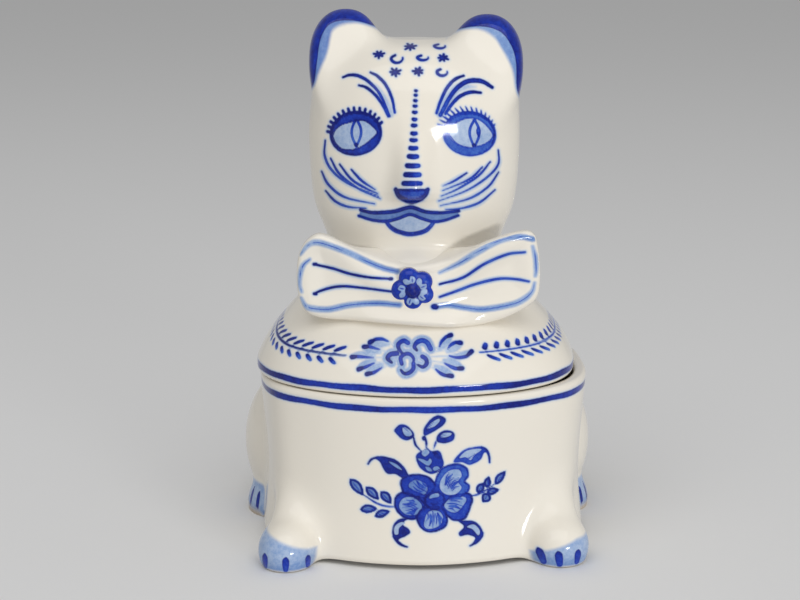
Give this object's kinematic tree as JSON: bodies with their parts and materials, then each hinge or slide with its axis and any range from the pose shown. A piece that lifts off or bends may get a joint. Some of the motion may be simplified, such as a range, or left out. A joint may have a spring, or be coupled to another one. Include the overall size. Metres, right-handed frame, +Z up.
{
  "type": "lidded ceramic cat figurine",
  "caption": "Sitting cat figurine that is also a box: a hollow squarish body with paws, and a lift-off lid in the shape of shoulders and head, wearing a bow tie with a small rosette.",
  "frame": {"origin": "on the ground, under the middle of the object's bounding box", "axes": "+Z up, the cat looks along -Y, and +X is to the right of someone who faces it"},
  "size_m": [0.1204, 0.106, 0.1723],
  "materials": {
    "glaze": "glossy clear glaze over ivory ware, with cobalt blue painting",
    "bow_glaze": "glossy clear glaze over ivory ware, with cobalt blue lines",
    "blue_glaze": "glossy clear glaze over cobalt blue painting"
  },
  "bodies": {
    "box": {"box_body": "glaze"},
    "lid": {"lid": "glaze", "bow_tie": "bow_glaze", "bow_rosette": "blue_glaze"}
  },
  "joints": [
    {"name": "lid_lift", "type": "slide", "parent": "box", "child": "lid", "axis": [0, 0, 1], "range_m": [0, 0.1]}
  ]
}
